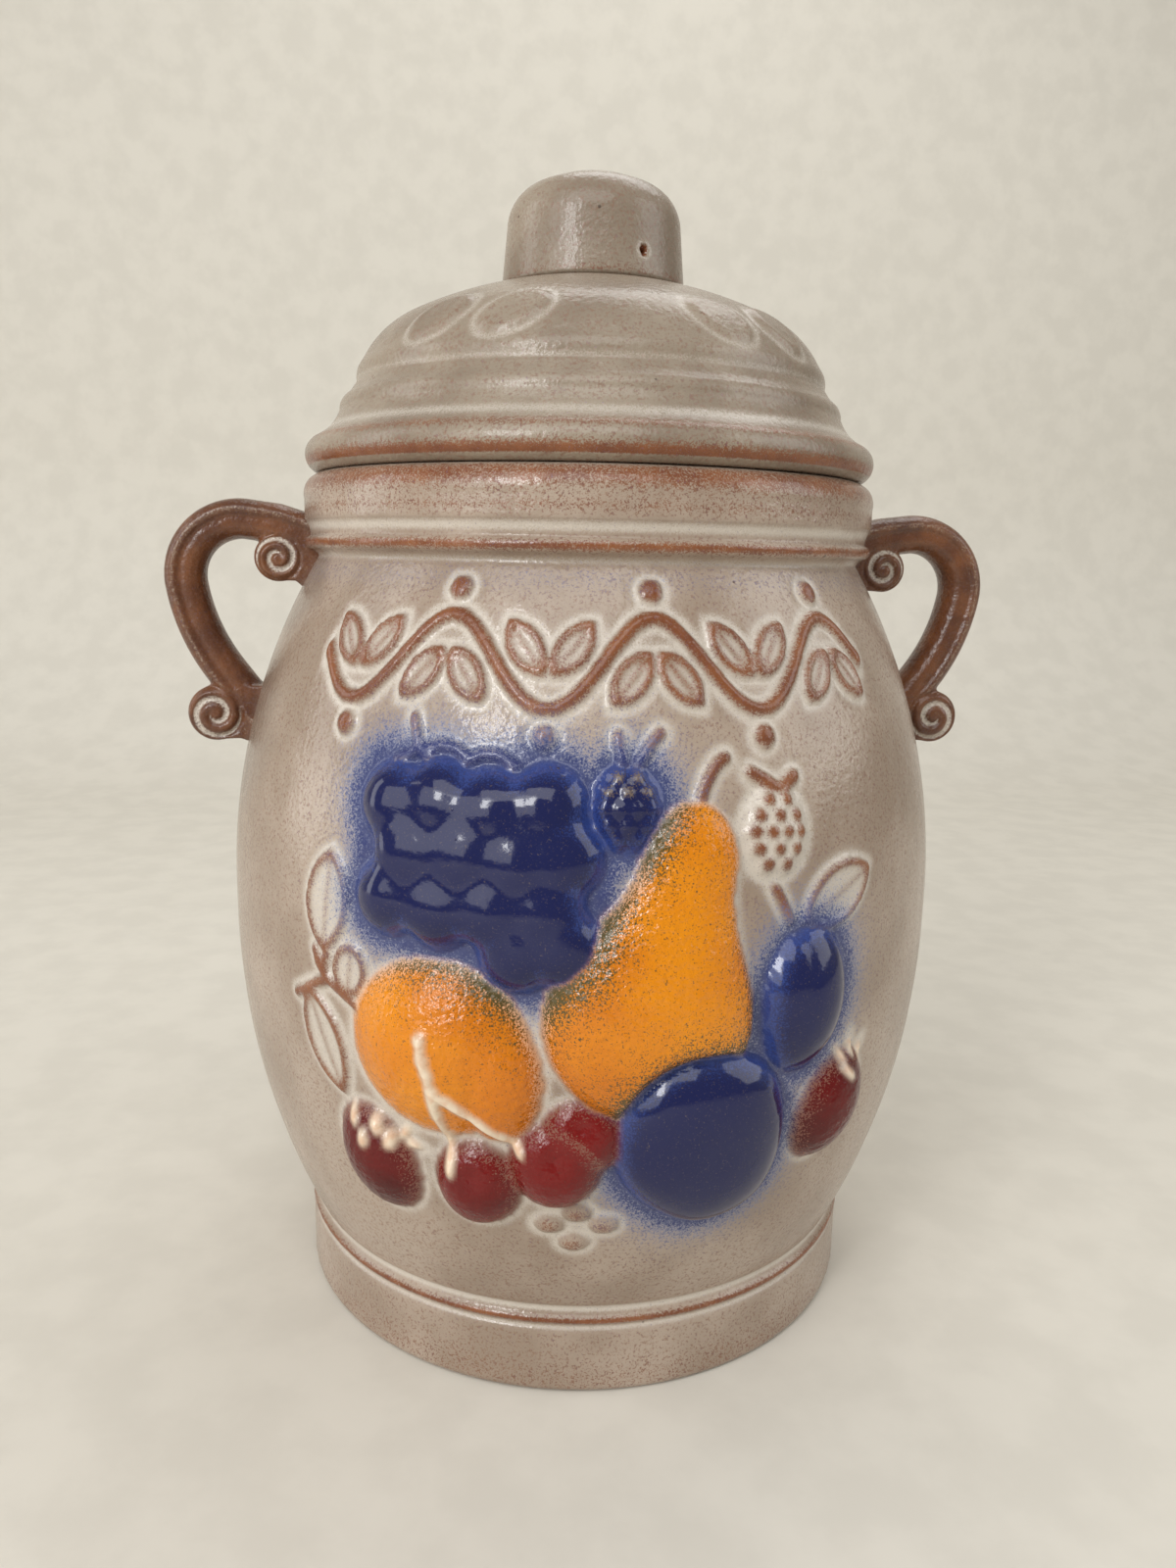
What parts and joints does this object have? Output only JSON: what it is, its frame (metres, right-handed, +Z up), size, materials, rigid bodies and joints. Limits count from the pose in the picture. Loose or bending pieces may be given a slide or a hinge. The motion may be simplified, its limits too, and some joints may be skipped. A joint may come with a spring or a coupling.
{
  "type": "lidded crock",
  "caption": "Lidded stoneware rum-fruit crock with two scrolled strap handles, raised fruit on the belly and a domed knobbed lid that lifts off.",
  "frame": {"origin": "on the pot's axis in the plane of the foot ring that it stands on", "axes": "+Z up along the pot's axis, -Y towards the side with the fruit, handles on +X and -X"},
  "size_m": [0.2278, 0.2022, 0.3002],
  "materials": {
    "stoneware_glaze": "gloss",
    "brown_glaze": "gloss",
    "orange_glaze": "gloss",
    "blue_glaze": "gloss",
    "red_glaze": "gloss",
    "cream_glaze": "gloss",
    "relief_glaze": "gloss"
  },
  "bodies": {
    "crock": {"bramble": "blue_glaze", "bramble_leaves": "relief_glaze", "cherries": "red_glaze", "cherry_stems": "cream_glaze", "crock": "stoneware_glaze", "currants": "relief_glaze", "garland_berries": "relief_glaze", "garland_leaves": "relief_glaze", "garland_stem": "relief_glaze", "grape_bunch": "blue_glaze", "grape_stem": "relief_glaze", "handle_left": "brown_glaze", "handle_right": "brown_glaze", "leaf_right": "relief_glaze", "leaves_left": "relief_glaze", "peach": "orange_glaze", "pear": "orange_glaze", "pear_stem": "relief_glaze", "plum_large": "blue_glaze", "plum_small": "blue_glaze", "raspberry": "relief_glaze", "raspberry_leaves": "relief_glaze", "raspberry_stem": "relief_glaze", "strawberry_left": "red_glaze", "strawberry_left_sepals": "cream_glaze", "strawberry_right": "red_glaze", "strawberry_right_sepals": "cream_glaze", "twig_left": "relief_glaze"},
    "lid": {"lid": "stoneware_glaze", "lid_knob": "stoneware_glaze", "lid_relief_ovals": "stoneware_glaze"}
  },
  "joints": [
    {"name": "lid_lift", "type": "slide", "parent": "crock", "child": "lid", "axis": [0, 0, 1], "range_m": [0, 0.15]}
  ]
}
